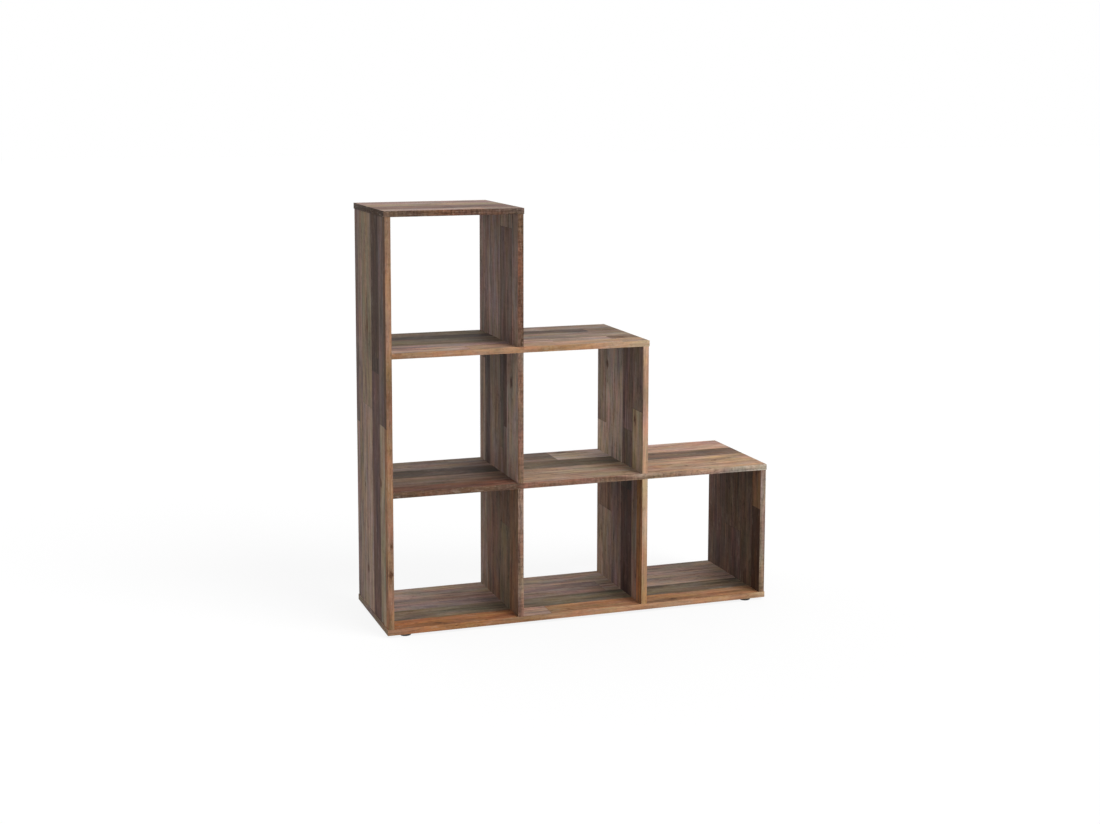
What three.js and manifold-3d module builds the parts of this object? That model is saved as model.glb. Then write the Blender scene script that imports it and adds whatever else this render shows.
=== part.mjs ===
// Staircase bookshelf: a free-standing case of melamine-faced chipboard, three columns wide, with three open
// bays in the left column, two in the middle one and one in the right one. Open in front and behind.
// Millimetres. X runs along the front, Y from front to back, Z up. The origin is on the floor, under the
// middle of the case.
import * as THREE from 'three';
import { mergeVertices } from 'three/addons/utils/BufferGeometryUtils.js';
import Module from 'manifold-3d';

const wasm = await Module();
wasm.setup();

// The case
const overallWidth = 1045;
const overallDepth = 330;
const overallHeight = 1075;
const boardThickness = 15;
const capOverhang = 2; // how far a board that caps a column stands past its uprights
const baysPerColumn = [3, 2, 1];

// Fits and cuts
const clearance = 0.3; // between a piece of hardware and its hole
const cutOverrun = 2; // how far a cutting shape stands past the face that it opens
const blindWall = 4; // board left behind a hole that stops inside it
const camSides = 12;
const thinSides = 8; // bolts, dowels, screws and nails, and their holes

// Joints: a fastener near the front face, another near the back face, and a dowel halfway
const fastenerInset = 50; // from the front or back face to the fastener's axis

// Cam fitting: a cam that has caught the head of its bolt, drawn tight, so that the two are one body
const camDiameter = 15;
const camDistance = 34; // from the end of the board to the cam's axis
const camReach = 4.8; // how far the cam goes past the bolt's axis
const camDriveLength = 9;
const camDriveWidth = 1.8;
const camDriveDepth = 1.8;
const boltDiameter = 7;
const boltNeckDiameter = 4;
const boltNeckGap = 3; // from the cam to the bolt's thick shank
const boltThreadDiameter = 5.6;
const boltTipDiameter = 4;
const boltTipLength = 2;

// Dowels
const dowelDiameter = 8;
const dowelGrip = 19; // how much of a dowel sits in the end of a board
const dowelChamfer = 1;

// Carcass screws, driven from below through the bottom panel
const screwLength = 50;
const screwHeadDiameter = 10;
const screwHeadRim = 0.8;
const screwConeLength = 3;
const screwShankDiameter = 7;
const screwThreadDiameter = 6;
const screwTipLength = 4;
const screwSocketWidth = 4.6; // across the corners of the hexagon
const screwSocketDepth = 2.6;
const socketSides = 6;

// Glides under the bottom panel, each held by a nail
const glideDiameter = 30;
const glideHeight = 7;
const glideRounding = 1.6;
const glideEndInset = 50; // from the end of the bottom panel to the glide's axis
const glideFaceInset = 20; // from the front or back face to the glide's axis
const glideSides = 20;
const roundingSteps = 3;
const nailDiameter = 2.6;
const nailHeadDiameter = 7;
const nailHeadThickness = 1.2;
const nailRecess = 2.6; // from the glide's underside to the seat of the nail's head
const nailGrip = 10; // how far the nail goes into the bottom panel
const nailTipLength = 2;

// Places that follow from these sizes
const columnCount = baysPerColumn.length;
const rowCount = Math.max(...baysPerColumn);
const boardWidths = (columnCount + 1) * boardThickness;
const boardHeights = (rowCount + 1) * boardThickness;
const bayWidth = (overallWidth - 2 * capOverhang - boardWidths) / columnCount;
const bayHeight = (overallHeight - glideHeight - boardHeights) / rowCount;
const halfBoard = boardThickness / 2;
const faceHoleDepth = boardThickness - blindWall;
const frontY = -overallDepth / 2;
const backY = overallDepth / 2;
const fastenerPlaces = { front: frontY + fastenerInset, back: backY - fastenerInset };

// Middle of the board that stands in upright line 0 (the left side) to 3 (the right side)
function lineX(line) {
  return -overallWidth / 2 + capOverhang + halfBoard + line * (bayWidth + boardThickness);
}

// Middle of the board that lies at level 0 (the bottom panel) to 3 (the top panel)
function levelZ(level) {
  return glideHeight + halfBoard + level * (bayHeight + boardThickness);
}

// Colours and finishes
function surface(color, roughness, metalness = 0) {
  return new THREE.MeshStandardMaterial({ color, roughness, metalness, flatShading: true });
}

const decorTaupe = surface(0x81776c, 0.62);
const decorOlive = surface(0x7d7565, 0.62);
const decorMauve = surface(0x8b8079, 0.62);
const decorBeige = surface(0xa8998b, 0.6);
const decorTan = surface(0xa58d76, 0.6);
const zincPlate = surface(0xb9bcc0, 0.35, 0.9);
const beech = surface(0xd8b98c, 0.7);
const greyPlastic = surface(0x3c3d3f, 0.5);

// The boards. An upright stands between two levels in its line. A lying board ends over the upright of its last
// line, and either caps the left side as well or butts against that side's inner face.
const uprights = [
  { name: 'left_side_panel', line: 0, from: 0, to: 3, face: decorTaupe },
  { name: 'left_divider_bottom', line: 1, from: 0, to: 1, face: decorOlive },
  { name: 'left_divider_middle', line: 1, from: 1, to: 2, face: decorTaupe },
  { name: 'left_divider_top', line: 1, from: 2, to: 3, face: decorMauve },
  { name: 'right_divider_bottom', line: 2, from: 0, to: 1, face: decorOlive },
  { name: 'right_divider_middle', line: 2, from: 1, to: 2, face: decorTaupe },
  { name: 'right_side_panel', line: 3, from: 0, to: 1, face: decorTaupe },
];
const lyingBoards = [
  { name: 'bottom_panel', level: 0, lastLine: 3, capsLeftSide: true, face: decorMauve },
  { name: 'middle_shelf', level: 1, lastLine: 3, capsLeftSide: false, face: decorTan },
  { name: 'upper_shelf', level: 2, lastLine: 2, capsLeftSide: false, face: decorBeige },
  { name: 'top_panel', level: 3, lastLine: 1, capsLeftSide: true, face: decorBeige },
];
const lineNames = ['left_side', 'left_divider', 'right_divider', 'right_side'];

// Geometry helpers

// One welded, closed skin: shared corners merged, triangles without area left out
function weld(geometry) {
  const bare = geometry.clone();
  bare.deleteAttribute('normal');
  bare.deleteAttribute('uv');
  const merged = mergeVertices(bare);
  const corners = merged.index.array;
  const kept = [];
  for (let i = 0; i < corners.length; i += 3) {
    const [a, b, c] = [corners[i], corners[i + 1], corners[i + 2]];
    if (a !== b && b !== c && c !== a) kept.push(a, b, c);
  }
  merged.setIndex(kept);
  return merged;
}

function toSolid(geometry) {
  const skin = weld(geometry);
  const mesh = new wasm.Mesh({
    numProp: 3,
    vertProperties: new Float32Array(skin.attributes.position.array),
    triVerts: new Uint32Array(skin.index.array),
  });
  return new wasm.Manifold(mesh);
}

function toGeometry(solid) {
  const mesh = solid.getMesh();
  const geometry = new THREE.BufferGeometry();
  geometry.setAttribute('position', new THREE.BufferAttribute(mesh.vertProperties, 3));
  geometry.setIndex(new THREE.BufferAttribute(mesh.triVerts, 1));
  return geometry;
}

function join(geometries) {
  const [first, ...others] = geometries.map(toSolid);
  return toGeometry(others.reduce((whole, piece) => whole.add(piece), first));
}

function cut(geometry, cutters) {
  const whole = toSolid(geometry);
  return toGeometry(cutters.map(toSolid).reduce((rest, cutter) => rest.subtract(cutter), whole));
}

// A box between two opposite corners
function block(low, high) {
  const size = high.map((value, axis) => value - low[axis]);
  const middle = high.map((value, axis) => (value + low[axis]) / 2);
  return new THREE.BoxGeometry(...size).translate(...middle);
}

// A turned piece about the Z axis. Its profile, a list of [radius, height], begins and ends on the axis or
// closes on itself.
function turned(profile, sides = thinSides) {
  const points = profile.map(([radius, height]) => new THREE.Vector2(radius, height));
  return weld(new THREE.LatheGeometry(points, sides).rotateX(Math.PI / 2));
}

function rod(radius, low, high, sides = thinSides) {
  return turned([[0, low], [radius, low], [radius, high], [0, high]], sides);
}

// The frame of a joint: its origin on the face that a board's end meets, +Z going into that board, and +X
// towards the face of that board in which the cam lies
function jointFrame(origin, inward, camSide) {
  const z = new THREE.Vector3(...inward);
  const x = new THREE.Vector3(...camSide);
  const y = new THREE.Vector3().crossVectors(z, x);
  return new THREE.Matrix4().makeBasis(x, y, z).setPosition(...origin);
}

function placed(geometry, frame) {
  return geometry.clone().applyMatrix4(frame);
}

// Hardware, each piece in the frame of its joint

const camRadius = camDiameter / 2;
const camTop = halfBoard - clearance;
const boltRadius = boltDiameter / 2;
const neckRadius = boltNeckDiameter / 2;
const shankEnd = camDistance - camRadius - boltNeckGap;

// The cam's axis runs from the board's face towards its middle
function camShape(radius, deepEnd, faceEnd) {
  return rod(radius, deepEnd, faceEnd, camSides).rotateY(Math.PI / 2).translate(0, 0, camDistance);
}

// A disc with a cross for the driver in its face
function cam() {
  const driveFloor = camTop - camDriveDepth;
  const driveHalf = camDriveLength / 2;
  const armHalf = camDriveWidth / 2;
  const armAlong = block(
    [driveFloor, -armHalf, camDistance - driveHalf],
    [camTop + cutOverrun, armHalf, camDistance + driveHalf],
  );
  const armAcross = block(
    [driveFloor, -driveHalf, camDistance - armHalf],
    [camTop + cutOverrun, driveHalf, camDistance + armHalf],
  );
  return cut(camShape(camRadius, -camReach, camTop), [armAlong, armAcross]);
}

function camHole() {
  return camShape(camRadius + clearance, -camReach - clearance, halfBoard + cutOverrun);
}

function camBolt() {
  const threadRadius = boltThreadDiameter / 2;
  const threadEnd = clearance - faceHoleDepth;
  return turned([
    [0, threadEnd],
    [boltTipDiameter / 2, threadEnd],
    [threadRadius, threadEnd + boltTipLength],
    [threadRadius, clearance],
    [boltRadius, clearance],
    [boltRadius, shankEnd],
    [neckRadius, shankEnd],
    [neckRadius, camDistance],
    [0, camDistance],
  ]);
}

function camFitting() {
  return join([cam(), camBolt()]);
}

// Two cams on one bolt that passes through a shelf; its lower half mirrors the upper one
function doubleCamFitting() {
  const mirrored = new THREE.Matrix4()
    .makeTranslation(0, 0, -boardThickness)
    .multiply(new THREE.Matrix4().makeRotationX(Math.PI));
  const shank = rod(boltRadius, -boardThickness - shankEnd, shankEnd);
  const necks = rod(neckRadius, -boardThickness - camDistance, camDistance);
  return join([shank, necks, cam(), placed(cam(), mirrored)]);
}

function boltHoleInFace() {
  return rod(boltThreadDiameter / 2 + clearance, -faceHoleDepth, cutOverrun);
}

function boltHoleInEnd() {
  return rod(boltRadius + clearance, -cutOverrun, camDistance);
}

function boltHoleThrough() {
  return rod(boltRadius + clearance, -boardThickness - cutOverrun, cutOverrun);
}

function dowel(low, high) {
  const radius = dowelDiameter / 2;
  return turned([
    [0, low],
    [radius - dowelChamfer, low],
    [radius, low + dowelChamfer],
    [radius, high - dowelChamfer],
    [radius - dowelChamfer, high],
    [0, high],
  ]);
}

function dowelHole(low, high) {
  return rod(dowelDiameter / 2 + clearance, low, high);
}

// A countersunk screw. Grown by the clearance and lengthened at its head, it is also its own hole.
function screwShape(grow, headExtra) {
  const head = clearance - boardThickness;
  const coneStart = head + screwHeadRim;
  const tip = head + screwLength;
  return turned([
    [0, head - headExtra],
    [screwHeadDiameter / 2 + grow, head - headExtra],
    [screwHeadDiameter / 2 + grow, coneStart],
    [screwShankDiameter / 2 + grow, coneStart + screwConeLength],
    [screwShankDiameter / 2 + grow, grow],
    [screwThreadDiameter / 2 + grow, grow],
    [screwThreadDiameter / 2 + grow, tip - screwTipLength],
    [0, tip + grow],
  ]);
}

function carcassScrew() {
  const head = clearance - boardThickness;
  const socketEnd = head + screwSocketDepth;
  return cut(screwShape(0, 0), [rod(screwSocketWidth / 2, head - cutOverrun, socketEnd, socketSides)]);
}

function screwHole() {
  return screwShape(clearance, clearance + cutOverrun);
}

// A low round foot with a rounded lower edge and a stepped hole for its nail
function glide() {
  const radius = glideDiameter / 2;
  const bore = nailDiameter / 2 + clearance;
  const recess = nailHeadDiameter / 2 + clearance;
  const steps = Array.from({ length: roundingSteps + 1 }, (_, step) => step / roundingSteps);
  const roundedEdge = steps.map((share) => [
    radius - glideRounding + glideRounding * Math.sin(share * (Math.PI / 2)),
    glideRounding - glideRounding * Math.cos(share * (Math.PI / 2)),
  ]);
  const profile = [
    [recess, 0],
    ...roundedEdge,
    [radius, glideHeight],
    [bore, glideHeight],
    [bore, nailRecess],
    [recess, nailRecess],
    [recess, 0],
  ];
  return turned(profile, glideSides);
}

function glideNail() {
  const headTop = nailRecess - clearance;
  const tip = glideHeight + nailGrip;
  return turned([
    [0, headTop - nailHeadThickness],
    [nailHeadDiameter / 2, headTop - nailHeadThickness],
    [nailHeadDiameter / 2, headTop],
    [nailDiameter / 2, headTop],
    [nailDiameter / 2, tip - nailTipLength],
    [0, tip],
  ]);
}

function nailHole() {
  return rod(nailDiameter / 2 + clearance, glideHeight - cutOverrun, glideHeight + nailGrip + clearance);
}

// Joints: each adds its hardware and drills the boards that it holds together

const group = new THREE.Group();
const drilled = new Map([...uprights, ...lyingBoards].map((board) => [board.name, []]));

function add(name, geometry, material) {
  const mesh = new THREE.Mesh(geometry, material.clone());
  mesh.name = name;
  group.add(mesh);
}

function drill(boardName, cutter, frame) {
  drilled.get(boardName).push(placed(cutter, frame));
}

// A dowel halfway between the faces, in the end of one board and in the face of another
function dowelJoint(jointName, ending, faced, frame) {
  drill(ending, dowelHole(-cutOverrun, dowelGrip + clearance), frame);
  drill(faced, dowelHole(-faceHoleDepth, cutOverrun), frame);
  add(`dowel_${jointName}`, placed(dowel(clearance - faceHoleDepth, dowelGrip), frame), beech);
}

// The end of one board against the face of another: two cam fittings and a dowel
function camJoint(jointName, ending, faced, frameAt) {
  for (const [place, y] of Object.entries(fastenerPlaces)) {
    const frame = frameAt(y);
    drill(ending, camHole(), frame);
    drill(ending, boltHoleInEnd(), frame);
    drill(faced, boltHoleInFace(), frame);
    add(`cam_fitting_${jointName}_${place}`, placed(camFitting(), frame), zincPlate);
  }
  dowelJoint(jointName, ending, faced, frameAt(0));
}

// An upright on the bottom panel: two screws from below and a dowel
function screwJoint(jointName, ending, faced, frameAt) {
  for (const [place, y] of Object.entries(fastenerPlaces)) {
    const frame = frameAt(y);
    drill(ending, screwHole(), frame);
    drill(faced, screwHole(), frame);
    add(`carcass_screw_${jointName}_${place}`, placed(carcassScrew(), frame), zincPlate);
  }
  dowelJoint(jointName, ending, faced, frameAt(0));
}

// Two uprights with a shelf between them: bolts and a long dowel that pass through the shelf
function crossingJoint(jointName, above, shelf, below, upFrameAt, downFrameAt) {
  for (const [place, y] of Object.entries(fastenerPlaces)) {
    const up = upFrameAt(y);
    const down = downFrameAt(y);
    drill(above, camHole(), up);
    drill(above, boltHoleInEnd(), up);
    drill(shelf, boltHoleThrough(), up);
    drill(below, camHole(), down);
    drill(below, boltHoleInEnd(), down);
    add(`double_cam_fitting_${jointName}_${place}`, placed(doubleCamFitting(), up), zincPlate);
  }
  const up = upFrameAt(0);
  drill(above, dowelHole(-cutOverrun, dowelGrip + clearance), up);
  drill(shelf, dowelHole(-boardThickness - cutOverrun, cutOverrun), up);
  drill(below, dowelHole(-cutOverrun, dowelGrip + clearance), downFrameAt(0));
  add(`long_dowel_${jointName}`, placed(dowel(-boardThickness - dowelGrip, dowelGrip), up), beech);
}

// Cams look to the right, away from the left side, but on the right side they look into the bay
function camSideOf(line) {
  return line === columnCount ? [-1, 0, 0] : [1, 0, 0];
}

function standingOn(line, level) {
  const top = levelZ(level) + halfBoard;
  return (y) => jointFrame([lineX(line), y, top], [0, 0, 1], camSideOf(line));
}

function hangingUnder(line, level) {
  const underside = levelZ(level) - halfBoard;
  return (y) => jointFrame([lineX(line), y, underside], [0, 0, -1], camSideOf(line));
}

function lyingAt(level) {
  return lyingBoards.find((board) => board.level === level).name;
}

for (const { name, line, from, to } of uprights) {
  const jointName = `${lineNames[line]}_${lyingAt(to)}`;
  const above = uprights.find((other) => other.line === line && other.from === to);
  if (from === 0) {
    screwJoint(`${lineNames[line]}_${lyingAt(0)}`, name, lyingAt(0), standingOn(line, 0));
  }
  if (above) {
    crossingJoint(jointName, above.name, lyingAt(to), name, standingOn(line, to), hangingUnder(line, to));
  } else {
    camJoint(jointName, name, lyingAt(to), hangingUnder(line, to));
  }
}

// A shelf's left end against the inner face of the left side
const innerFaceX = lineX(0) + halfBoard;
for (const { name, level } of lyingBoards.filter((board) => !board.capsLeftSide)) {
  const frameAt = (y) => jointFrame([innerFaceX, y, levelZ(level)], [1, 0, 0], [0, 0, -1]);
  camJoint(`${name}_left_end`, name, 'left_side_panel', frameAt);
}

// Feet, each with its nail
const glideX = overallWidth / 2 - glideEndInset;
const glideY = overallDepth / 2 - glideFaceInset;
for (const [depthName, y] of Object.entries({ front: -glideY, back: glideY })) {
  for (const [widthName, x] of Object.entries({ left: -glideX, right: glideX })) {
    const frame = new THREE.Matrix4().makeTranslation(x, y, 0);
    drill('bottom_panel', nailHole(), frame);
    add(`glide_${depthName}_${widthName}`, placed(glide(), frame), greyPlastic);
    add(`glide_nail_${depthName}_${widthName}`, placed(glideNail(), frame), zincPlate);
  }
}

// The drilled boards
function addBoard({ name, face }, left, right, low, high) {
  const whole = block([left, frontY, low], [right, backY, high]);
  add(name, cut(whole, drilled.get(name)), face);
}

for (const upright of uprights) {
  const middle = lineX(upright.line);
  const low = levelZ(upright.from) + halfBoard;
  const high = levelZ(upright.to) - halfBoard;
  addBoard(upright, middle - halfBoard, middle + halfBoard, low, high);
}

for (const board of lyingBoards) {
  const left = board.capsLeftSide ? lineX(0) - halfBoard - capOverhang : innerFaceX;
  const right = lineX(board.lastLine) + halfBoard + capOverhang;
  const middle = levelZ(board.level);
  addBoard(board, left, right, middle - halfBoard, middle + halfBoard);
}

export default group;
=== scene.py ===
"""Staircase bookshelf: the looks of a flat-pack bookcase in a reclaimed-wood decor, in metres."""
import itertools
import math

import bpy
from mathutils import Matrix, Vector


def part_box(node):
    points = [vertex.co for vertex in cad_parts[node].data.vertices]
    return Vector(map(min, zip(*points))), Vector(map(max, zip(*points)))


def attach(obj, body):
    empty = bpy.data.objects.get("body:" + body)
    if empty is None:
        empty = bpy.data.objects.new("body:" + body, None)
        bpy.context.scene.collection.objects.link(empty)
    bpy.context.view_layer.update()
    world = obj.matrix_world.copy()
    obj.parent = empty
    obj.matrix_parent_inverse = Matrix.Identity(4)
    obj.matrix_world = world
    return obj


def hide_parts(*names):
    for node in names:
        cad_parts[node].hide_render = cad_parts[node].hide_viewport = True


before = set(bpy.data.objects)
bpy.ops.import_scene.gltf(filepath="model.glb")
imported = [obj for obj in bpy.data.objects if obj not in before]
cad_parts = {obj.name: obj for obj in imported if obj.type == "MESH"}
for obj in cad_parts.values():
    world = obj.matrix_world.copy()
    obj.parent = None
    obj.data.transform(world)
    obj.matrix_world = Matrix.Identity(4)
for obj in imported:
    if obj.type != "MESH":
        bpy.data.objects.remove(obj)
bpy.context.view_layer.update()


# The photographer's camera: it stands left of the middle of the case, a little above it, and looks
# slightly down. Its lens and place come from the edges of the boards.
PICTURE_WIDTH = 1100
SENSOR_WIDTH = 36.0
FOCAL_PIXELS = 1694.1
LOOK_DOWN = math.radians(7.16)
TURN = 0.3238
SHIFT_ACROSS = 0.0196
SHIFT_UP = -0.10
CAMERA_PLACE = (-1.4974, -4.1776, 1.3694)
camera_data = bpy.data.cameras.new("camera")
camera_data.sensor_width = SENSOR_WIDTH
camera_data.lens = FOCAL_PIXELS / PICTURE_WIDTH * SENSOR_WIDTH
camera_data.shift_x = SHIFT_ACROSS
camera_data.shift_y = SHIFT_UP
camera = bpy.data.objects.new("camera", camera_data)
camera.location = CAMERA_PLACE
camera.rotation_euler = (math.pi / 2 - LOOK_DOWN, 0, -TURN)
bpy.context.scene.collection.objects.link(camera)
bpy.context.scene.camera = camera


# The floor glides: four low round feet under the bottom panel, moulded in dark grey plastic. Each has
# a rounded lower edge and a recess for the head of the nail that holds it.
GLIDE_SIDES = 64
SMOOTH_BELOW = math.radians(35)
MIX_FIRST, MIX_SECOND, MIX_RESULT = 6, 7, 2  # the colour sockets of a mix node


def tone(red, green, blue):
    """A colour given as it is seen, from 0 to 255, in the linear values that shaders use."""
    seen = [channel / 255 for channel in (red, green, blue)]
    return [c / 12.92 if c <= 0.04045 else ((c + 0.055) / 1.055) ** 2.4 for c in seen] + [1.0]


def feed(tree, socket, value):
    """Links an output to a socket, or sets the socket's own value."""
    if isinstance(value, bpy.types.NodeSocket):
        tree.links.new(value, socket)
    else:
        socket.default_value = value


def add(tree, kind, inputs=None, **settings):
    """A new node with its settings made and its inputs fed."""
    node = tree.nodes.new(kind)
    for setting, value in settings.items():
        setattr(node, setting, value)
    for socket, value in (inputs or {}).items():
        feed(tree, node.inputs[socket], value)
    return node


def calc(tree, operation, first, second=0.0, third=0.0):
    """One sum on plain values."""
    return add(tree, "ShaderNodeMath", {0: first, 1: second, 2: third}, operation=operation).outputs[0]


def times(tree, first, second):
    """Two plain values multiplied."""
    return calc(tree, "MULTIPLY", first, second)


def vector_calc(tree, operation, first, second):
    """One sum on vectors."""
    return add(tree, "ShaderNodeVectorMath", {0: first, 1: second}, operation=operation).outputs[0]


def blend_colours(tree, share, first, second, how="MIX"):
    """Two colours mixed by a share."""
    inputs = {0: share, MIX_FIRST: first, MIX_SECOND: second}
    return add(tree, "ShaderNodeMix", inputs, data_type="RGBA", blend_type=how).outputs[MIX_RESULT]


def span(tree, value, low, high, to_low=0.0, to_high=1.0, how="LINEAR"):
    """A value's range moved onto another range, held at its ends."""
    inputs = {0: value, 1: low, 2: high, 3: to_low, 4: to_high}
    return add(tree, "ShaderNodeMapRange", inputs, interpolation_type=how).outputs[0]


def mottle(tree, place, scale, detail=2.0, roughness=0.5):
    """Soft noise, with a scale of its own along each axis."""
    stretched = vector_calc(tree, "MULTIPLY", place, scale)
    inputs = {"Vector": stretched, "Scale": 1.0, "Detail": detail, "Roughness": roughness}
    return add(tree, "ShaderNodeTexNoise", inputs).outputs["Fac"]


def finish_shader(name, gloss=0.5):
    """A new material, its tree, its shader and the place on the piece."""
    material = bpy.data.materials.new(name)
    material.use_nodes = True
    tree = material.node_tree
    shader = tree.nodes["Principled BSDF"]
    shader.inputs["Specular IOR Level"].default_value = gloss
    place = add(tree, "ShaderNodeTexCoord").outputs["Object"]
    return material, tree, shader, place


def new_group(name, inputs, outputs):
    """An empty node group with named sockets: its tree, its inputs and its output node."""
    tree = bpy.data.node_groups.new(name, "ShaderNodeTree")
    for socket_name, kind, value in inputs:
        socket = tree.interface.new_socket(socket_name, in_out="INPUT", socket_type="NodeSocket" + kind)
        if value is not None:
            socket.default_value = value
    for socket_name, kind in outputs:
        tree.interface.new_socket(socket_name, in_out="OUTPUT", socket_type="NodeSocket" + kind)
    return tree, add(tree, "NodeGroupInput").outputs, add(tree, "NodeGroupOutput")


def place_group(tree, group, inputs):
    """A node group placed in a tree with its own values: its outputs."""
    node = add(tree, "ShaderNodeGroup", node_tree=group)
    for socket, value in inputs.items():
        feed(tree, node.inputs[socket], value)
    return node.outputs


def relief(tree, shader, height, depth, distance):
    """Presses a height into the shader's surface."""
    bump = add(tree, "ShaderNodeBump", {"Strength": depth, "Distance": distance, "Height": height})
    feed(tree, shader.inputs["Normal"], bump.outputs["Normal"])


def edit(piece):
    """Only this piece selected, and open in edit mode with all of it selected."""
    if bpy.context.mode != "OBJECT":
        bpy.ops.object.mode_set(mode="OBJECT")
    bpy.ops.object.select_all(action="DESELECT")
    piece.select_set(True)
    bpy.context.view_layer.objects.active = piece
    bpy.ops.object.mode_set(mode="EDIT")
    bpy.ops.mesh.select_all(action="SELECT")


def close_edit():
    """Back to object mode, with the mesh brought up to date."""
    bpy.ops.object.mode_set(mode="OBJECT")


def turned(name, profile, centre, sides):
    """A turned solid on an upright axis, drawn through (height, radius) steps from cap to cap."""
    bpy.ops.object.select_all(action="DESELECT")
    height, radius = profile[0]
    start = (centre[0], centre[1], centre[2] + height)
    bpy.ops.mesh.primitive_circle_add(vertices=sides, radius=radius, fill_type="NGON", location=start)
    piece = bpy.context.object
    piece.name = piece.data.name = name
    bpy.ops.object.transform_apply(location=True, rotation=True, scale=True)
    edit(piece)
    for next_height, next_radius in profile[1:]:
        rise = (0, 0, next_height - height)
        bpy.ops.mesh.extrude_region_move(TRANSFORM_OT_translate={"value": rise})
        grow = next_radius / radius
        middle = (centre[0], centre[1], centre[2] + next_height)
        bpy.ops.transform.resize(value=(grow, grow, 1), center_override=middle)
        height, radius = next_height, next_radius
    bpy.ops.mesh.select_all(action="SELECT")
    bpy.ops.mesh.normals_make_consistent(inside=False)
    close_edit()
    bpy.ops.object.shade_smooth_by_angle(angle=SMOOTH_BELOW)
    return piece


def copy_at(piece, name, move):
    """A copy of a piece with its own mesh, moved in the mesh."""
    twin = piece.copy()
    twin.data = piece.data.copy()
    twin.name = twin.data.name = name
    bpy.context.scene.collection.objects.link(twin)
    edit(twin)
    bpy.ops.transform.translate(value=move)
    close_edit()
    return twin


def set_alike(nodes, suffix, material, make):
    """Makes a piece in place of the first CAD node and sets copies of it in place of the others."""
    first = None
    for node in nodes:
        low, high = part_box(node)
        centre = (low + high) / 2
        if first is None:
            piece = make(node + suffix, centre)
            piece.data.materials.clear()
            piece.data.materials.append(material)
            first, first_centre = piece, centre
        else:
            piece = copy_at(first, node + suffix, centre - first_centre)
        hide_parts(node)
        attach(piece, "root")


def moulded_plastic():
    """Dark grey plastic with the fine matt texture of its mould and a few pale scuffs."""
    material, tree, shader, place = finish_shader("moulded_grey_plastic", gloss=0.4)
    grain = mottle(tree, place, (2600, 2600, 2600), 3)
    cloud = mottle(tree, place, (130, 130, 130), 3)
    scuff = span(tree, mottle(tree, place, (900, 120, 400), 4), 0.6, 0.72)
    shade = blend_colours(tree, cloud, tone(54, 50, 48), tone(72, 68, 65))
    shade = blend_colours(tree, times(tree, scuff, 0.35), shade, tone(120, 116, 112))
    feed(tree, shader.inputs["Base Color"], shade)
    feed(tree, shader.inputs["Roughness"], span(tree, grain, 0.3, 0.7, 0.42, 0.62))
    relief(tree, shader, grain, 0.25, 0.0001)
    return material


glide_profile = [(0.0031, 0.0030), (0.0031, 0.0052), (0.0006, 0.0058), (0.0000, 0.0064), (0.0000, 0.0122),
                 (0.0003, 0.0136), (0.0011, 0.0146), (0.0022, 0.0150), (0.0062, 0.0150), (0.0070, 0.0146)]
corners = ["front_left", "front_right", "back_left", "back_right"]
set_alike(["glide_" + corner for corner in corners], "_moulded", moulded_plastic(),
          lambda name, centre: turned(name, glide_profile, (centre.x, centre.y, 0.0), GLIDE_SIDES))


# The glide nails: one through the middle of each glide into the bottom panel, of zinc-plated steel, with
# a domed head that stays inside the glide's recess.
NAIL_SIDES = 32


def zinc_plate():
    """Zinc-plated steel: a bright satin skin with faint crystals, cloudy stains and fine scratches."""
    material, tree, shader, place = finish_shader("zinc_plate")
    crystals = add(tree, "ShaderNodeTexVoronoi", {"Vector": place, "Scale": 900.0}, feature="F1")
    cloud = mottle(tree, place, (220, 220, 220), 3)
    scratch = mottle(tree, place, (300, 4200, 1500), 3)
    shade = blend_colours(tree, cloud, tone(150, 150, 148), tone(205, 205, 202))
    facets = times(tree, crystals.outputs["Distance"], 0.25)
    shade = blend_colours(tree, facets, shade, tone(180, 184, 192))
    feed(tree, shader.inputs["Base Color"], shade)
    shader.inputs["Metallic"].default_value = 1.0
    feed(tree, shader.inputs["Roughness"], span(tree, scratch, 0.25, 0.75, 0.26, 0.5))
    relief(tree, shader, scratch, 0.15, 0.00005)
    return material


zinc = zinc_plate()
nail_profile = [(0.0012, 0.0012), (0.0015, 0.0030), (0.0021, 0.0042), (0.0028, 0.0045), (0.0031, 0.0043),
                (0.0031, 0.0010), (0.0168, 0.0010), (0.0185, 0.0002)]
set_alike(["glide_nail_" + corner for corner in corners], "_turned", zinc,
          lambda name, centre: turned(name, nail_profile, (centre.x, centre.y, 0.0), NAIL_SIDES))


# The bottom panel: one melamine-faced chipboard under all the uprights, with the screw holes drilled
# from below. The decor is a print of old planks side by side, and every edge has a glued-on band.
BAND = 0.0008  # the thickness of an edge band
BAND_ROUND = 0.00035
DEPTH = 0.330
FACE = 0.0075  # from the middle of a board to its face
SEAM = 0.0009  # the dark line between two planks
DECOR_GLOSS = 0.05
FLAT = 0.00001  # points are level with each other below this
WELD = 0.000001  # points are one below this
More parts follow.
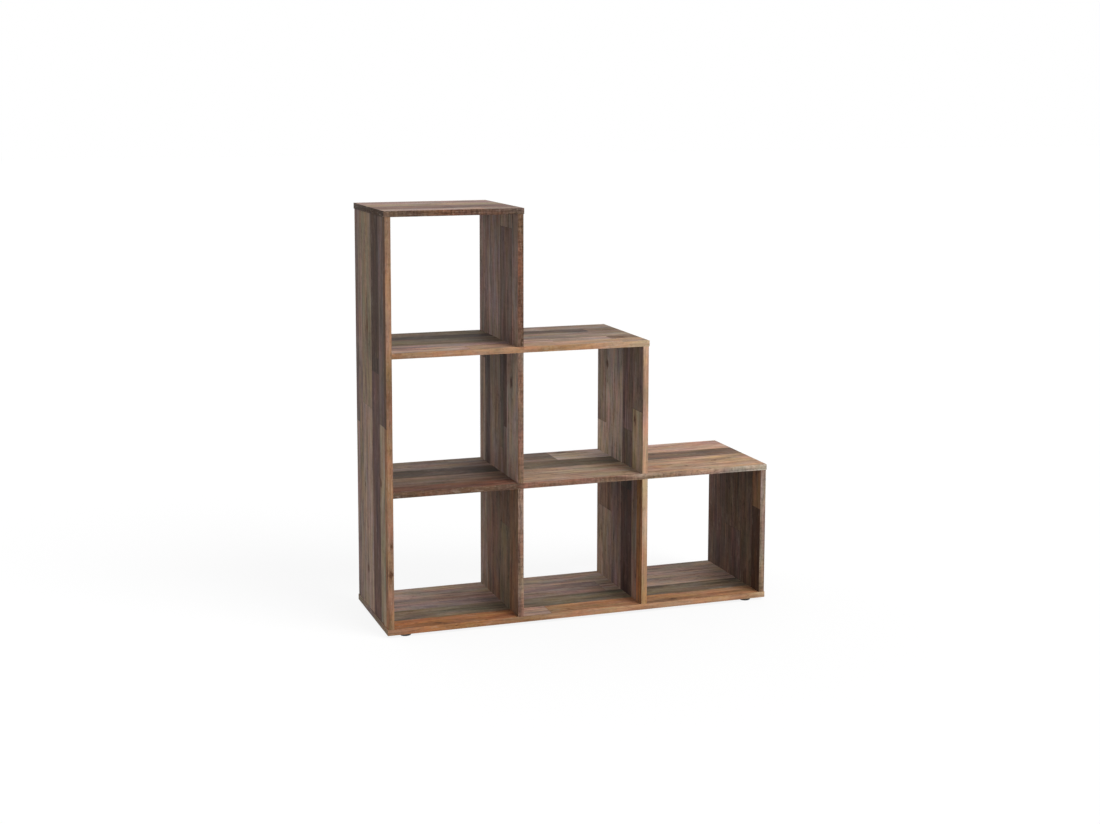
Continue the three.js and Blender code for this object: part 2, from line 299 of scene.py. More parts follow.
# The tones of the print, on the boards and on the bands.
TONES = {
    "taupe": tone(148, 129, 116),
    "pale_taupe": tone(180, 163, 151),
    "rose_taupe": tone(162, 143, 134),
    "olive_taupe": tone(132, 116, 97),
    "grey_taupe": tone(122, 108, 97),
    "mauve_taupe": tone(138, 118, 110),
    "brown_taupe": tone(128, 104, 88),
    "pale_olive": tone(176, 160, 136),
    "olive_beige": tone(148, 134, 113),
    "olive_grey": tone(108, 96, 80),
    "mauve_brown": tone(108, 88, 80),
    "mauve_grey": tone(102, 87, 82),
    "dark_mauve": tone(90, 69, 63),
    "grey_brown": tone(108, 90, 76),
    "slate": tone(80, 69, 62),
    "umber": tone(68, 52, 43),
    "bark": tone(61, 45, 34),
    "dark_brown": tone(88, 65, 50),
    "red_brown": tone(102, 70, 55),
    "walnut": tone(99, 80, 66),
    "rust": tone(112, 80, 64),
    "chestnut": tone(122, 94, 78),
    "russet": tone(134, 100, 87),
    "nut": tone(139, 110, 85),
    "drift": tone(132, 114, 100),
    "driftwood": tone(144, 121, 101),
    "beige": tone(156, 134, 115),
    "pink_beige": tone(164, 137, 121),
    "tan": tone(160, 133, 110),
    "sand": tone(156, 121, 95),
    "orange_tan": tone(150, 113, 83),
    "orange_brown": tone(146, 100, 66),
    "honey": tone(158, 113, 76),
    "amber": tone(171, 134, 101),
    "straw": tone(182, 155, 128),
    "blond": tone(194, 158, 133),
}


def nudged(tree, base, noise, amount):
    """A value moved up and down by soft noise."""
    return calc(tree, "MULTIPLY_ADD", calc(tree, "SUBTRACT", noise, 0.5), amount, base)


def tinted(tree, colour, tint):
    """A colour multiplied by a tint."""
    return blend_colours(tree, 1.0, colour, tint, "MULTIPLY")


def joined(tree, x=0.0, y=0.0, z=0.0):
    """Three values made one vector."""
    return add(tree, "ShaderNodeCombineXYZ", {0: x, 1: y, 2: z}).outputs[0]


def parts_of(tree, vector):
    """A vector's three values."""
    return add(tree, "ShaderNodeSeparateXYZ", {0: vector}).outputs


def reclaimed_grain():
    """Old wood over a plank's tone: rings, fibres, streaks, stained patches, cracks, flecks and saw marks."""
    tree, given, made = new_group(
        "Reclaimed grain",
        [("Tone", "Color", None), ("Plank", "Vector", None), ("Board", "Vector", None),
         ("Seed", "Float", 0.0), ("Strength", "Float", 1.0), ("Cross", "Float", 0.0)],
        [("Color", "Color"), ("Height", "Float"), ("Roughness", "Float")])
    seeded = vector_calc(tree, "ADD", given["Plank"], joined(tree, given["Seed"], 0.0, given["Seed"]))
    chance = add(tree, "ShaderNodeTexWhiteNoise", {"Vector": seeded}, noise_dimensions="3D")
    shift = vector_calc(tree, "MULTIPLY", chance.outputs["Color"], (7.1, 3.9, 5.3))
    place = vector_calc(tree, "ADD", given["Board"], shift)
    bend = nudged(tree, 0.0, mottle(tree, place, (2.2, 9, 9)), 0.040)
    bend = nudged(tree, bend, mottle(tree, place, (11, 42, 20)), 0.009)
    place = vector_calc(tree, "ADD", place, joined(tree, y=bend))
    across = parts_of(tree, place)["Y"]

    ring_count = calc(tree, "MULTIPLY_ADD", mottle(tree, place, (1.7, 7, 4)), 9.0, times(tree, across, 70.0))
    rings = calc(tree, "POWER", calc(tree, "FRACT", ring_count), 3.0)
    fibres = mottle(tree, place, (9, 520, 60), 3, 0.6)
    streaks = mottle(tree, place, (6.5, 170, 24), 4, 0.62)
    bars = mottle(tree, place, (3.2, 52, 8), 3, 0.55)
    stretched = vector_calc(tree, "MULTIPLY", place, (10, 34, 12))
    inputs = {"Vector": stretched, "Scale": 1.0, "Detail": 4.0, "Roughness": 0.62}
    patch = add(tree, "ShaderNodeTexNoise", inputs).outputs["Color"]
    patches = add(tree, "ShaderNodeSeparateColor", {0: patch}).outputs
    saw = times(tree, nudged(tree, 0.0, mottle(tree, place, (260, 9, 9)), 1.0),
                span(tree, patches[1], 0.45, 0.6, 0.25, 1.0))
    ticks = mottle(tree, place, (150, 34, 34), 3, 0.6)

    shade = nudged(tree, 1.0, fibres, 0.80)
    shade = calc(tree, "MULTIPLY_ADD", rings, -0.14, shade)
    for noise, amount in ((streaks, 1.75), (bars, 1.25), (patches[0], 1.15)):
        shade = nudged(tree, shade, noise, amount)
    shade = calc(tree, "MULTIPLY_ADD", saw, 0.22, shade)
    shade = nudged(tree, shade, ticks, given["Cross"])
    shade = calc(tree, "MULTIPLY_ADD", calc(tree, "SUBTRACT", shade, 1.0), given["Strength"], 1.03)
    shade = calc(tree, "MINIMUM", calc(tree, "MAXIMUM", shade, 0.35), 1.7)
    colour = tinted(tree, given["Tone"], joined(tree, shade, shade, shade))

    warm = tinted(tree, colour, (1.13, 0.97, 0.85, 1))
    cool = tinted(tree, colour, (0.92, 1.01, 1.10, 1))
    colour = blend_colours(tree, span(tree, patches[1], 0.34, 0.66), cool, warm)
    olive = tinted(tree, colour, (0.97, 1.03, 0.91, 1))
    mauve = tinted(tree, colour, (1.04, 0.95, 1.05, 1))
    colour = blend_colours(tree, span(tree, patches[2], 0.36, 0.64), olive, mauve)

    crack_lines = calc(tree, "ABSOLUTE", nudged(tree, 0.0, mottle(tree, place, (2.6, 70, 12), 3), 1.0))
    cracks = span(tree, crack_lines, 0.0, 0.018, 1.0, 0.0)
    cracks = times(tree, cracks, span(tree, mottle(tree, place, (5, 16, 5), 1), 0.48, 0.58))
    flecks = span(tree, mottle(tree, place, (34, 115, 30), 3, 0.68), 0.59, 0.665)
    pores = span(tree, mottle(tree, place, (70, 1300, 200), 1), 0.62, 0.7)
    veins = span(tree, mottle(tree, place, (4.5, 125, 20), 3, 0.62), 0.37, 0.46, 1.0, 0.0)
    dark = times(tree, cracks, 0.75)
    for marks, depth in ((flecks, 0.62), (pores, 0.16), (veins, 0.42)):
        dark = calc(tree, "MAXIMUM", dark, times(tree, marks, depth))
    stained = tinted(tree, colour, (0.34, 0.27, 0.24, 1))
    colour = blend_colours(tree, times(tree, dark, given["Strength"]), colour, stained)
    pale = span(tree, mottle(tree, place, (22, 210, 40), 3, 0.65), 0.58, 0.69)
    pale = times(tree, pale, span(tree, patches[0], 0.42, 0.55))
    bleached = blend_colours(tree, 0.5, colour, tone(196, 182, 168))
    colour = blend_colours(tree, times(tree, pale, 0.62), colour, bleached)
    feed(tree, made.inputs["Color"], colour)

    height = calc(tree, "MULTIPLY_ADD", fibres, 0.5, times(tree, streaks, 0.5))
    height = calc(tree, "MULTIPLY_ADD", saw, 0.3, height)
    feed(tree, made.inputs["Height"], calc(tree, "SUBTRACT", height, times(tree, dark, 0.7)))
    feed(tree, made.inputs["Roughness"], span(tree, streaks, 0.25, 0.75, 0.58, 0.76))
    return tree


def knot():
    """One knot: a ragged dark eye with faint rings and a trail along the grain, which bends around it."""
    tree, given, made = new_group(
        "Knot",
        [("Board", "Vector", None), ("Centre", "Vector", (0, 0, 0)), ("Size", "Float", 0.01)],
        [("Mask", "Float"), ("Rings", "Float"), ("Board", "Vector")])
    away = vector_calc(tree, "SUBTRACT", given["Board"], given["Centre"])
    stretched = vector_calc(tree, "MULTIPLY", given["Board"], (60, 130, 130))
    inputs = {"Vector": stretched, "Scale": 1.0, "Detail": 3.0}
    ragged = add(tree, "ShaderNodeTexNoise", inputs).outputs["Color"]
    ragged = vector_calc(tree, "SUBTRACT", ragged, (0.5, 0.5, 0.5))
    ragged = vector_calc(tree, "MULTIPLY", ragged, (0.030, 0.018, 0))
    wide = calc(tree, "DIVIDE", 1.0, given["Size"])
    scale = joined(tree, times(tree, wide, 0.6), wide, 250.0)
    scaled = vector_calc(tree, "MULTIPLY", vector_calc(tree, "ADD", away, ragged), scale)
    length = add(tree, "ShaderNodeVectorMath", {0: scaled}, operation="LENGTH").outputs["Value"]
    drawn_out = vector_calc(tree, "MULTIPLY", scaled, (0.22, 0.8, 1.0))
    trail = add(tree, "ShaderNodeVectorMath", {0: drawn_out}, operation="LENGTH").outputs["Value"]
    trail = span(tree, trail, 0.2, 1.0, 0.36, 0.0, "SMOOTHSTEP")
    mask = calc(tree, "MAXIMUM", span(tree, length, 0.3, 1.05, 1.0, 0.0, "SMOOTHSTEP"), trail)
    rings = calc(tree, "MULTIPLY_ADD", calc(tree, "SINE", times(tree, length, 15.0)), 0.32, 0.42)
    near = calc(tree, "EXPONENT", times(tree, times(tree, length, length), -0.35))
    push = times(tree, times(tree, parts_of(tree, away)["Y"], near), -0.6)
    feed(tree, made.inputs["Mask"], mask)
    feed(tree, made.inputs["Rings"], rings)
    feed(tree, made.inputs["Board"], vector_calc(tree, "ADD", given["Board"], joined(tree, y=push)))
    return tree


grain_group = reclaimed_grain()
knot_group = knot()


def steps(tree, position, stops, interpolation="CONSTANT"):
    """Bars of colour along a position from 0 to 1, each from its stop to the next."""
    ramp = add(tree, "ShaderNodeValToRGB", {"Fac": position})
    bars = ramp.color_ramp
    bars.interpolation = interpolation
    while len(bars.elements) > 1:
        bars.elements.remove(bars.elements[-1])
    bars.elements[0].position = stops[0][0]
    bars.elements[0].color = stops[0][1]
    for at, colour in stops[1:]:
        bars.elements.new(min(max(at, 0.0), 1.0)).color = colour
    return ramp.outputs["Color"]


def knots_in(tree, board, knots):
    """Places knots, each its centre on the board and its size: the bent board coordinates, the knots' mask
    and their rings."""
    mask, rings = 0.0, 0.5
    for centre, size in knots:
        found = place_group(tree, knot_group, {"Board": board, "Centre": centre, "Size": size})
        board = found["Board"]
        rings = span(tree, found["Mask"], 0.0, 0.02, rings, found["Rings"])
        mask = calc(tree, "MAXIMUM", mask, found["Mask"])
    return board, mask, rings


def knot_colour(tree, colour, mask, rings):
    """The colour with its knots burnt in."""
    burnt = blend_colours(tree, rings, tone(58, 38, 28), tone(112, 74, 50))
    return blend_colours(tree, times(tree, mask, 0.9), colour, burnt)


def plank_tones(tree, along, across, planks, low, high):
    """The tones and seams of planks laid side by side from the front. Each plank is its width in
    millimetres, then its tones, with the place of the butt joint between one tone and the next."""
    position = calc(tree, "DIVIDE", across, DEPTH)
    length = calc(tree, "DIVIDE", calc(tree, "SUBTRACT", along, low), high - low)
    fronts = [sum(plank[0] for plank in planks[:i]) / 1000 / DEPTH for i in range(len(planks))]
    line = SEAM / DEPTH
    seams = [(0.0, (0, 0, 0, 1))]
    for front in fronts[1:]:
        seams += [(front - line, (0, 0, 0, 1)), (front, (1, 1, 1, 1)), (front + line, (0, 0, 0, 1))]
    seam = steps(tree, position, seams, "LINEAR")
    tones = steps(tree, position, [(front, TONES[plank[1]]) for front, plank in zip(fronts, planks)])
    for turn in range(2, max(len(plank) for plank in planks), 2):
        joints, next_tones = [], []
        for front, plank in zip(fronts, planks):
            share = (plank[turn] - low) / (high - low) if len(plank) > turn else 2.0
            joints.append((front, (share, share, share, 1)))
            next_tones.append((front, TONES[plank[turn + 1] if len(plank) > turn else plank[1]]))
        past = calc(tree, "SUBTRACT", length, steps(tree, position, joints))
        beyond = calc(tree, "GREATER_THAN", past, 0.0)
        tones = blend_colours(tree, beyond, tones, steps(tree, position, next_tones))
        butt = span(tree, calc(tree, "ABSOLUTE", past), 0.0, SEAM / (high - low), 1.0, 0.0)
        seam = calc(tree, "MAXIMUM", seam, butt)
    return tones, seam


def plank_decor(name, node, lying, upper, lower, knots, seed):
    """The printed planks of one board: its upper or left face, and its lower or right one."""
    material, tree, shader, place = finish_shader(name, DECOR_GLOSS)
    low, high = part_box(node)
    middle = (low + high) / 2
    if lying:
        move, rotation, ends = (0, DEPTH / 2, -middle.z), (0, 0, 0), (low.x, high.x)
    else:
        move, rotation, ends = (0, DEPTH / 2, middle.x), (0, math.pi / 2, 0), (low.z, high.z)
    inputs = {"Vector": place, "Location": move, "Rotation": rotation}
    board = add(tree, "ShaderNodeMapping", inputs).outputs[0]
    parts = parts_of(tree, board)
    above = calc(tree, "GREATER_THAN", parts["Z"], 0.0)
    upper_tone, upper_seam = plank_tones(tree, parts["X"], parts["Y"], upper, *ends)
    lower_tone, lower_seam = plank_tones(tree, parts["X"], parts["Y"], lower, *ends)
    tones = blend_colours(tree, above, lower_tone, upper_tone)
    seam = span(tree, above, 0.0, 1.0, lower_seam, upper_seam)
    bent, mask, rings = knots_in(tree, board, knots)
    grain = place_group(tree, grain_group, {"Tone": tones, "Plank": tones, "Board": bent,
                                            "Seed": seed, "Cross": 0.35})
    colour = knot_colour(tree, grain["Color"], mask, rings)
    colour = blend_colours(tree, times(tree, seam, 0.45), colour, tone(44, 35, 30))
    feed(tree, shader.inputs["Base Color"], colour)
    feed(tree, shader.inputs["Roughness"], grain["Roughness"])
    height = calc(tree, "SUBTRACT", grain["Height"], times(tree, seam, 0.9))
    relief(tree, shader, calc(tree, "SUBTRACT", height, times(tree, mask, 0.3)), 0.35, 0.0003)
    return material


def band_decor(name, way, length, tones, knots, flecks, seed):
    """The print of an edge band: tones that change along it, grain, dark flecks and small knots."""
    material, tree, shader, place = finish_shader(name, DECOR_GLOSS)
    rotation = {"front": (-math.pi / 2, 0, 0), "post": (math.pi / 2, 0, math.pi / 2),
                "end": (math.pi / 2, math.pi / 2, 0)}[way]
    board = add(tree, "ShaderNodeMapping", {"Vector": place, "Rotation": rotation}).outputs[0]
    low, high = length
    at = calc(tree, "DIVIDE", calc(tree, "SUBTRACT", parts_of(tree, board)["X"], low), high - low)
    at = nudged(tree, at, mottle(tree, board, (20, 90, 3)), 0.08)
    stops = [((where - low) / (high - low), TONES[name_of]) for where, name_of in tones]
    base = steps(tree, at, stops, "LINEAR")
    bent, mask, rings = knots_in(tree, board, knots)
    grain = place_group(tree, grain_group, {"Tone": base, "Board": bent, "Strength": 0.45 + flecks * 0.7,
                                            "Seed": seed, "Cross": 0.15 + flecks * flecks * 5.0})
    specks = span(tree, mottle(tree, bent, (120, 170, 170), 3, 0.6), 0.56, 0.66)
    specks = times(tree, specks, flecks)
    colour = blend_colours(tree, specks, grain["Color"], tone(62, 46, 36))
    worn = span(tree, mottle(tree, bent, (85, 340, 340), 4, 0.7), 0.56, 0.74)
    colour = blend_colours(tree, times(tree, worn, 0.45), colour, tone(190, 172, 152))
    colour = knot_colour(tree, colour, mask, rings)
    feed(tree, shader.inputs["Base Color"], colour)
    feed(tree, shader.inputs["Roughness"], grain["Roughness"])
    height = calc(tree, "SUBTRACT", grain["Height"], times(tree, mask, 0.3))
    relief(tree, shader, height, 0.3, 0.0002)
    return material


def raw_chipboard():
    """Bare chipboard, where a board is cut or drilled: pressed chips of pale and brown wood."""
    material, tree, shader, place = finish_shader("raw_chipboard", gloss=0.2)
    crumble = add(tree, "ShaderNodeTexNoise", {"Vector": place, "Scale": 300.0}).outputs["Color"]
    crumble = vector_calc(tree, "MULTIPLY", crumble, (0.004, 0.004, 0.004))
    warped = vector_calc(tree, "ADD", place, crumble)
    chips = add(tree, "ShaderNodeTexVoronoi", {"Vector": warped, "Scale": 480.0}, feature="F1")
    shade = blend_colours(tree, chips.outputs["Color"], tone(196, 164, 120), tone(140, 104, 68))
    gaps = span(tree, chips.outputs["Distance"], 0.55, 0.8)
    shade = blend_colours(tree, times(tree, gaps, 0.5), shade, tone(92, 66, 42))
    feed(tree, shader.inputs["Base Color"], shade)
    feed(tree, shader.inputs["Roughness"], span(tree, chips.outputs["Distance"], 0, 1, 0.75, 0.95))
    relief(tree, shader, chips.outputs["Distance"], 0.5, 0.0004)
    return material


chipboard = raw_chipboard()


def board_core(node, decor, banded):
    """A board without its edge bands: the drilled panel with its printed faces and bare cut edges."""
    low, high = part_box(node)
    core = bpy.data.objects.new(node + "_core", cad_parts[node].data.copy())
    core.data.name = core.name
    bpy.context.scene.collection.objects.link(core)
    core.data.materials.clear()
    core.data.materials.append(decor)
    core.data.materials.append(chipboard)
    edit(core)
    bpy.ops.mesh.remove_doubles(threshold=WELD)
    cuts = [((0, low.y + BAND, 0), (0, -1, 0)), ((0, high.y - BAND, 0), (0, 1, 0))]
    if "left" in banded:
        cuts.append(((low.x + BAND, 0, 0), (-1, 0, 0)))
    if "right" in banded:
        cuts.append(((high.x - BAND, 0, 0), (1, 0, 0)))
    for point, outward in cuts:
        bpy.ops.mesh.select_all(action="SELECT")
        bpy.ops.mesh.bisect(plane_co=point, plane_no=outward, use_fill=True, clear_outer=True,
                            threshold=WELD)
    bpy.ops.mesh.select_all(action="SELECT")
    bpy.ops.mesh.faces_shade_flat()
    close_edit()
    bpy.ops.mesh.customdata_custom_splitnormals_clear()
    size = high - low
    thin = 0 if size.x < size.z else 2
    for face in core.data.polygons:
        inset = min(face.center[thin] - low[thin], high[thin] - face.center[thin])
        printed = abs(face.normal[thin]) > 0.99 and inset < FLAT
        face.material_index = 0 if printed else 1
    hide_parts(node)
    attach(core, "root")


def round_outer_edges(piece, outward, radius, segments):
    """Rounds the edges around a piece's outermost face."""
    outward = Vector(outward)
    edit(piece)
    bpy.ops.mesh.select_all(action="DESELECT")
    bpy.ops.mesh.select_mode(type="EDGE")
    close_edit()
    reach = max(vertex.co.dot(outward) for vertex in piece.data.vertices)
    for edge in piece.data.edges:
        ends = [piece.data.vertices[i].co.dot(outward) for i in edge.vertices]
        edge.select = all(reach - end < FLAT for end in ends)
    bpy.ops.object.mode_set(mode="EDIT")
    bpy.ops.mesh.bevel(offset=radius, segments=segments, profile=0.5, affect="EDGES")
    close_edit()
    bpy.ops.object.shade_smooth_by_angle(angle=SMOOTH_BELOW)


def edge_band(name, low, high, outward, decor):
    """A glued-on strip, with the edges of its outer face scraped round."""
    low, high = Vector(low), Vector(high)
    bpy.ops.object.select_all(action="DESELECT")
    bpy.ops.mesh.primitive_cube_add(size=1, location=(low + high) / 2)
    band = bpy.context.object
    band.name = band.data.name = name
    band.scale = high - low
    bpy.ops.object.transform_apply(location=True, rotation=True, scale=True)
    round_outer_edges(band, outward, BAND_ROUND, 3)
    band.data.materials.append(decor)
    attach(band, "root")


board_seeds = itertools.count(1)
band_seeds = itertools.count(21)


def board(node, upper, lower, knots, front, back, front_knots=(), ends=(), banded=(), front_flecks=0.3,
          end_flecks=0.4):
    """One board and its bands: the planks of its upper or left face and of its lower or right one, its knots,
    and the tones along its front band, its back band and the bands on its open ends."""
    low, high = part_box(node)
    lying = high.z - low.z < high.x - low.x
    way, length = ("front", (low.x, high.x)) if lying else ("post", (low.z, high.z))
    decor = plank_decor(node + "_decor", node, lying, upper, lower, knots, next(board_seeds) / 10)
    board_core(node, decor, banded)
    seed = next(band_seeds) / 10
    decor = band_decor(node + "_front_decor", way, length, front, front_knots, front_flecks, seed)
    edge_band(node + "_front_band", low, (high.x, low.y + BAND, high.z), (0, -1, 0), decor)
    seed = next(band_seeds) / 10
    decor = band_decor(node + "_back_decor", way, length, back, (), 0.4, seed)
    edge_band(node + "_back_band", (low.x, high.y - BAND, low.z), high, (0, 1, 0), decor)
    if not banded:
        return
    seed = next(band_seeds) / 10
    decor = band_decor(node + "_end_decor", "end", (low.y, high.y), ends, (), end_flecks, seed)
    for end in banded:
        outward = (-1, 0, 0) if end == "left" else (1, 0, 0)
        near, far = (low.x, low.x + BAND) if end == "left" else (high.x - BAND, high.x)
        edge_band(f"{node}_{end}_end_band", (near, low.y + BAND, low.z), (far, high.y - BAND, high.z),
                  outward, decor)


board(
    "bottom_panel",
    [(66, "orange_brown", -0.172, "pink_beige", -0.085, "orange_tan"), (78, "olive_grey"),
     (92, "mauve_taupe", 0.12, "taupe"), (94, "taupe")],
    [(70, "grey_taupe", 0.10, "olive_taupe"), (90, "taupe"), (80, "mauve_brown"),
     (90, "taupe", -0.05, "beige")],
    [((-0.385, 0.018, FACE), 0.012), ((0.26, 0.02, FACE), 0.013)],
    front=[(-0.52, "nut"), (-0.46, "honey"), (-0.28, "honey"), (-0.15, "nut"), (-0.05, "amber"),
           (0.06, "amber"), (0.2, "sand"), (0.3, "sand"), (0.4, "amber"), (0.46, "sand"), (0.52, "straw")],
    front_knots=[((-0.341, 0.0155, 0.165), 0.004)], front_flecks=0.2,
    back=[(-0.5, "drift"), (-0.2, "sand"), (0.1, "driftwood"), (0.5, "brown_taupe")],
    ends=[(-0.16, "driftwood"), (0.0, "grey_taupe"), (0.16, "drift")], banded=("left", "right"))


# The carcass screws: eight countersunk hex-socket screws, driven from below through the bottom panel into
# the ends of the uprights. Only their zinc-plated heads can be seen, from underneath.
SCREW_SIDES = 40
SOCKET_ACROSS = 0.0044
SOCKET_DEPTH = 0.0022
screw_nodes = sorted(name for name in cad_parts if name.startswith("carcass_screw"))
screw_low, screw_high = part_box(screw_nodes[0])
screw_length = screw_high.z - screw_low.z
screw_profile = [(0.0000, 0.0040), (0.0002, 0.00445), (0.0007, 0.0046), (0.0046, 0.00235),
                 (0.0100, 0.00235), (0.0106, 0.0030), (screw_length - 0.004, 0.0030), (screw_length, 0.0010)]


def socket_screw(name, centre):
    """A countersunk screw, head down, with a six-sided socket cut into its head."""
    foot = (centre.x, centre.y, screw_low.z)
    screw = turned(name, screw_profile, foot, SCREW_SIDES)
    bpy.ops.object.select_all(action="DESELECT")
    bpy.ops.mesh.primitive_cylinder_add(vertices=6, radius=SOCKET_ACROSS / math.sqrt(3),
                                        depth=SOCKET_DEPTH * 2, location=foot)
    key = bpy.context.object
    socket = screw.modifiers.new("socket", "BOOLEAN")
    socket.operation = "DIFFERENCE"
    socket.solver = "EXACT"
    socket.object = key
    bpy.ops.object.select_all(action="DESELECT")
    screw.select_set(True)
    bpy.context.view_layer.objects.active = screw
    bpy.ops.object.modifier_apply(modifier="socket")
    bpy.data.objects.remove(key)
    return screw


set_alike(screw_nodes, "_turned", zinc, socket_screw)


# The dowels: fluted beech pins with chamfered ends, glued into holes in the ends and faces of the boards,
# which keep the boards in line. Each is hidden inside its joint.
DOWEL_FLUTES = 16
FLUTE_DEPTH = 0.0003
DOWEL_CHAMFER = 0.0008


def raw_beech():
    """Bare turned beech: pale pinkish tan with short dark flecks and soft grain."""
    material, tree, shader, place = finish_shader("raw_beech", gloss=0.3)
    grain = mottle(tree, place, (420, 420, 60), 4)
    flecks = span(tree, mottle(tree, place, (1500, 1500, 260), 2), 0.6, 0.7)
    shade = blend_colours(tree, grain, tone(196, 158, 112), tone(222, 188, 144))
    shade = blend_colours(tree, times(tree, flecks, 0.5), shade, tone(150, 108, 70))
    feed(tree, shader.inputs["Base Color"], shade)
    feed(tree, shader.inputs["Roughness"], span(tree, grain, 0.3, 0.7, 0.6, 0.8))
    relief(tree, shader, grain, 0.3, 0.0002)
    return material


def fluted_dowel(name, centre, size):
    """A dowel with a groove at every third corner of its section, from one chamfered end to the other."""
    section_sides = 3 * DOWEL_FLUTES
    radius = min(size) / 2
    bpy.ops.object.select_all(action="DESELECT")
    bpy.ops.mesh.primitive_cylinder_add(vertices=section_sides, radius=radius, depth=max(size))
    dowel = bpy.context.object
    dowel.name = dowel.data.name = name
    round_outer_edges(dowel, (0, 0, 1), DOWEL_CHAMFER, 1)
    round_outer_edges(dowel, (0, 0, -1), DOWEL_CHAMFER, 1)
    edit(dowel)
    bpy.ops.mesh.select_all(action="DESELECT")
    bpy.ops.mesh.select_mode(type="VERT")
    close_edit()
    for vertex in dowel.data.vertices:
        corner = round(math.atan2(vertex.co.x, vertex.co.y) / math.tau * section_sides)
        vertex.select = corner % 3 == 0
    bpy.ops.object.mode_set(mode="EDIT")
    pull = 1 - FLUTE_DEPTH / radius
    bpy.ops.transform.resize(value=(pull, pull, 1), center_override=(0, 0, 0))
    bpy.ops.mesh.select_all(action="SELECT")
    if size[0] > size[2]:
        bpy.ops.transform.rotate(value=math.pi / 2, orient_axis="Y", center_override=(0, 0, 0))
    bpy.ops.transform.translate(value=centre)
    close_edit()
    bpy.ops.object.shade_smooth_by_angle(angle=SMOOTH_BELOW)
    return dowel


def size_of(node):
    """A CAD node's size, to a hundredth of a millimetre."""
    low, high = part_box(node)
    return [round(side, 5) for side in high - low]


beech = raw_beech()
dowel_nodes = sorted((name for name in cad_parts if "dowel" in name), key=size_of)
for size, alike in itertools.groupby(dowel_nodes, key=size_of):
    set_alike(alike, "_fluted", beech, lambda name, centre: fluted_dowel(name, centre, size))


# The left side panel: one tall board from the bottom panel to the top panel, screwed from below and held at
# the top by cams. Its outer face has six plank widths, in taupe, umber and mauve grey.
board(
    "left_side_panel",
    [(22, "orange_tan", 0.533, "dark_brown"), (50, "olive_beige", 0.535, "mauve_grey"),
     (78, "dark_mauve", 0.66, "umber"), (102, "taupe", 0.56, "olive_taupe"),
     (43, "drift"), (35, "mauve_taupe", 0.50, "mauve_grey")],
    [(70, "grey_brown"), (96, "olive_taupe", 0.70, "grey_taupe"), (64, "mauve_taupe"),
     (100, "taupe", 0.45, "olive_taupe")],
    [((0.769, 0.198, FACE), 0.015), ((0.385, 0.066, FACE), 0.013), ((0.126, 0.214, FACE), 0.012),
     ((0.344, 0.240, FACE), 0.008), ((0.47, 0.10, -FACE), 0.012)],
    front=[(0.03, "nut"), (0.12, "sand"), (0.5, "sand"), (0.6, "chestnut"), (0.68, "nut"), (1.05, "nut")],
    front_knots=[((0.165, -0.513, -0.165), 0.0085), ((0.235, -0.511, -0.165), 0.0085)],
    back=[(0.03, "grey_taupe"), (0.3, "nut"), (0.6, "brown_taupe"), (1.05, "grey_brown")])


# The lower dividers: two boards between the bottom panel and the middle shelf, in brown, taupe and slate
# planks. The right one has a narrow orange plank in front.
board(
    "left_divider_bottom",
    [(70, "nut"), (84, "olive_taupe", 0.24, "brown_taupe"), (112, "brown_taupe"), (64, "taupe")],
    [(88, "taupe"), (72, "slate", 0.20, "grey_brown"), (92, "olive_taupe"),
     (78, "grey_taupe", 0.28, "taupe")],
    [((0.12, 0.26, -FACE), 0.011)],
    front=[(0.03, "chestnut"), (0.1, "driftwood"), (0.2, "russet"), (0.3, "driftwood"), (0.35, "driftwood")],
    front_flecks=0.6,
    back=[(0.03, "brown_taupe"), (0.2, "nut"), (0.35, "grey_brown")])
board(
    "right_divider_bottom",
    [(38, "honey"), (36, "taupe"), (76, "dark_mauve", 0.31, "slate"), (70, "mauve_taupe"),
     (110, "taupe", 0.22, "brown_taupe")],
    [(92, "olive_taupe", 0.24, "taupe"), (108, "mauve_taupe"), (130, "grey_taupe", 0.15, "grey_brown")],
    [((0.20, 0.05, -FACE), 0.010)],
    front=[(0.03, "amber"), (0.15, "amber"), (0.25, "straw"), (0.35, "straw")], front_flecks=0.2,
    back=[(0.03, "drift"), (0.2, "brown_taupe"), (0.35, "grey_taupe")])


# The right side panel: the short outer board of the low column, with dark planks inside it and a
# grey-taupe front band. The front plank inside is dark brown below its butt joint: partly print, partly
# painted shade.
board(
    "right_side_panel",
    # the front plank's dark brown below 0.25 is partly the print and partly painted shade
    [(48, "dark_brown", 0.25, "nut"), (72, "grey_brown"), (100, "mauve_brown", 0.16, "grey_brown"),
     (110, "mauve_brown")],
    [(80, "olive_taupe"), (98, "taupe"), (60, "mauve_brown"), (92, "mauve_taupe", 0.20, "olive_taupe")],
    [((0.25, 0.30, -FACE), 0.012)],
    front=[(0.02, "chestnut"), (0.04, "drift"), (0.35, "drift")], front_flecks=0.5,
    back=[(0.03, "drift"), (0.2, "sand"), (0.35, "driftwood")])


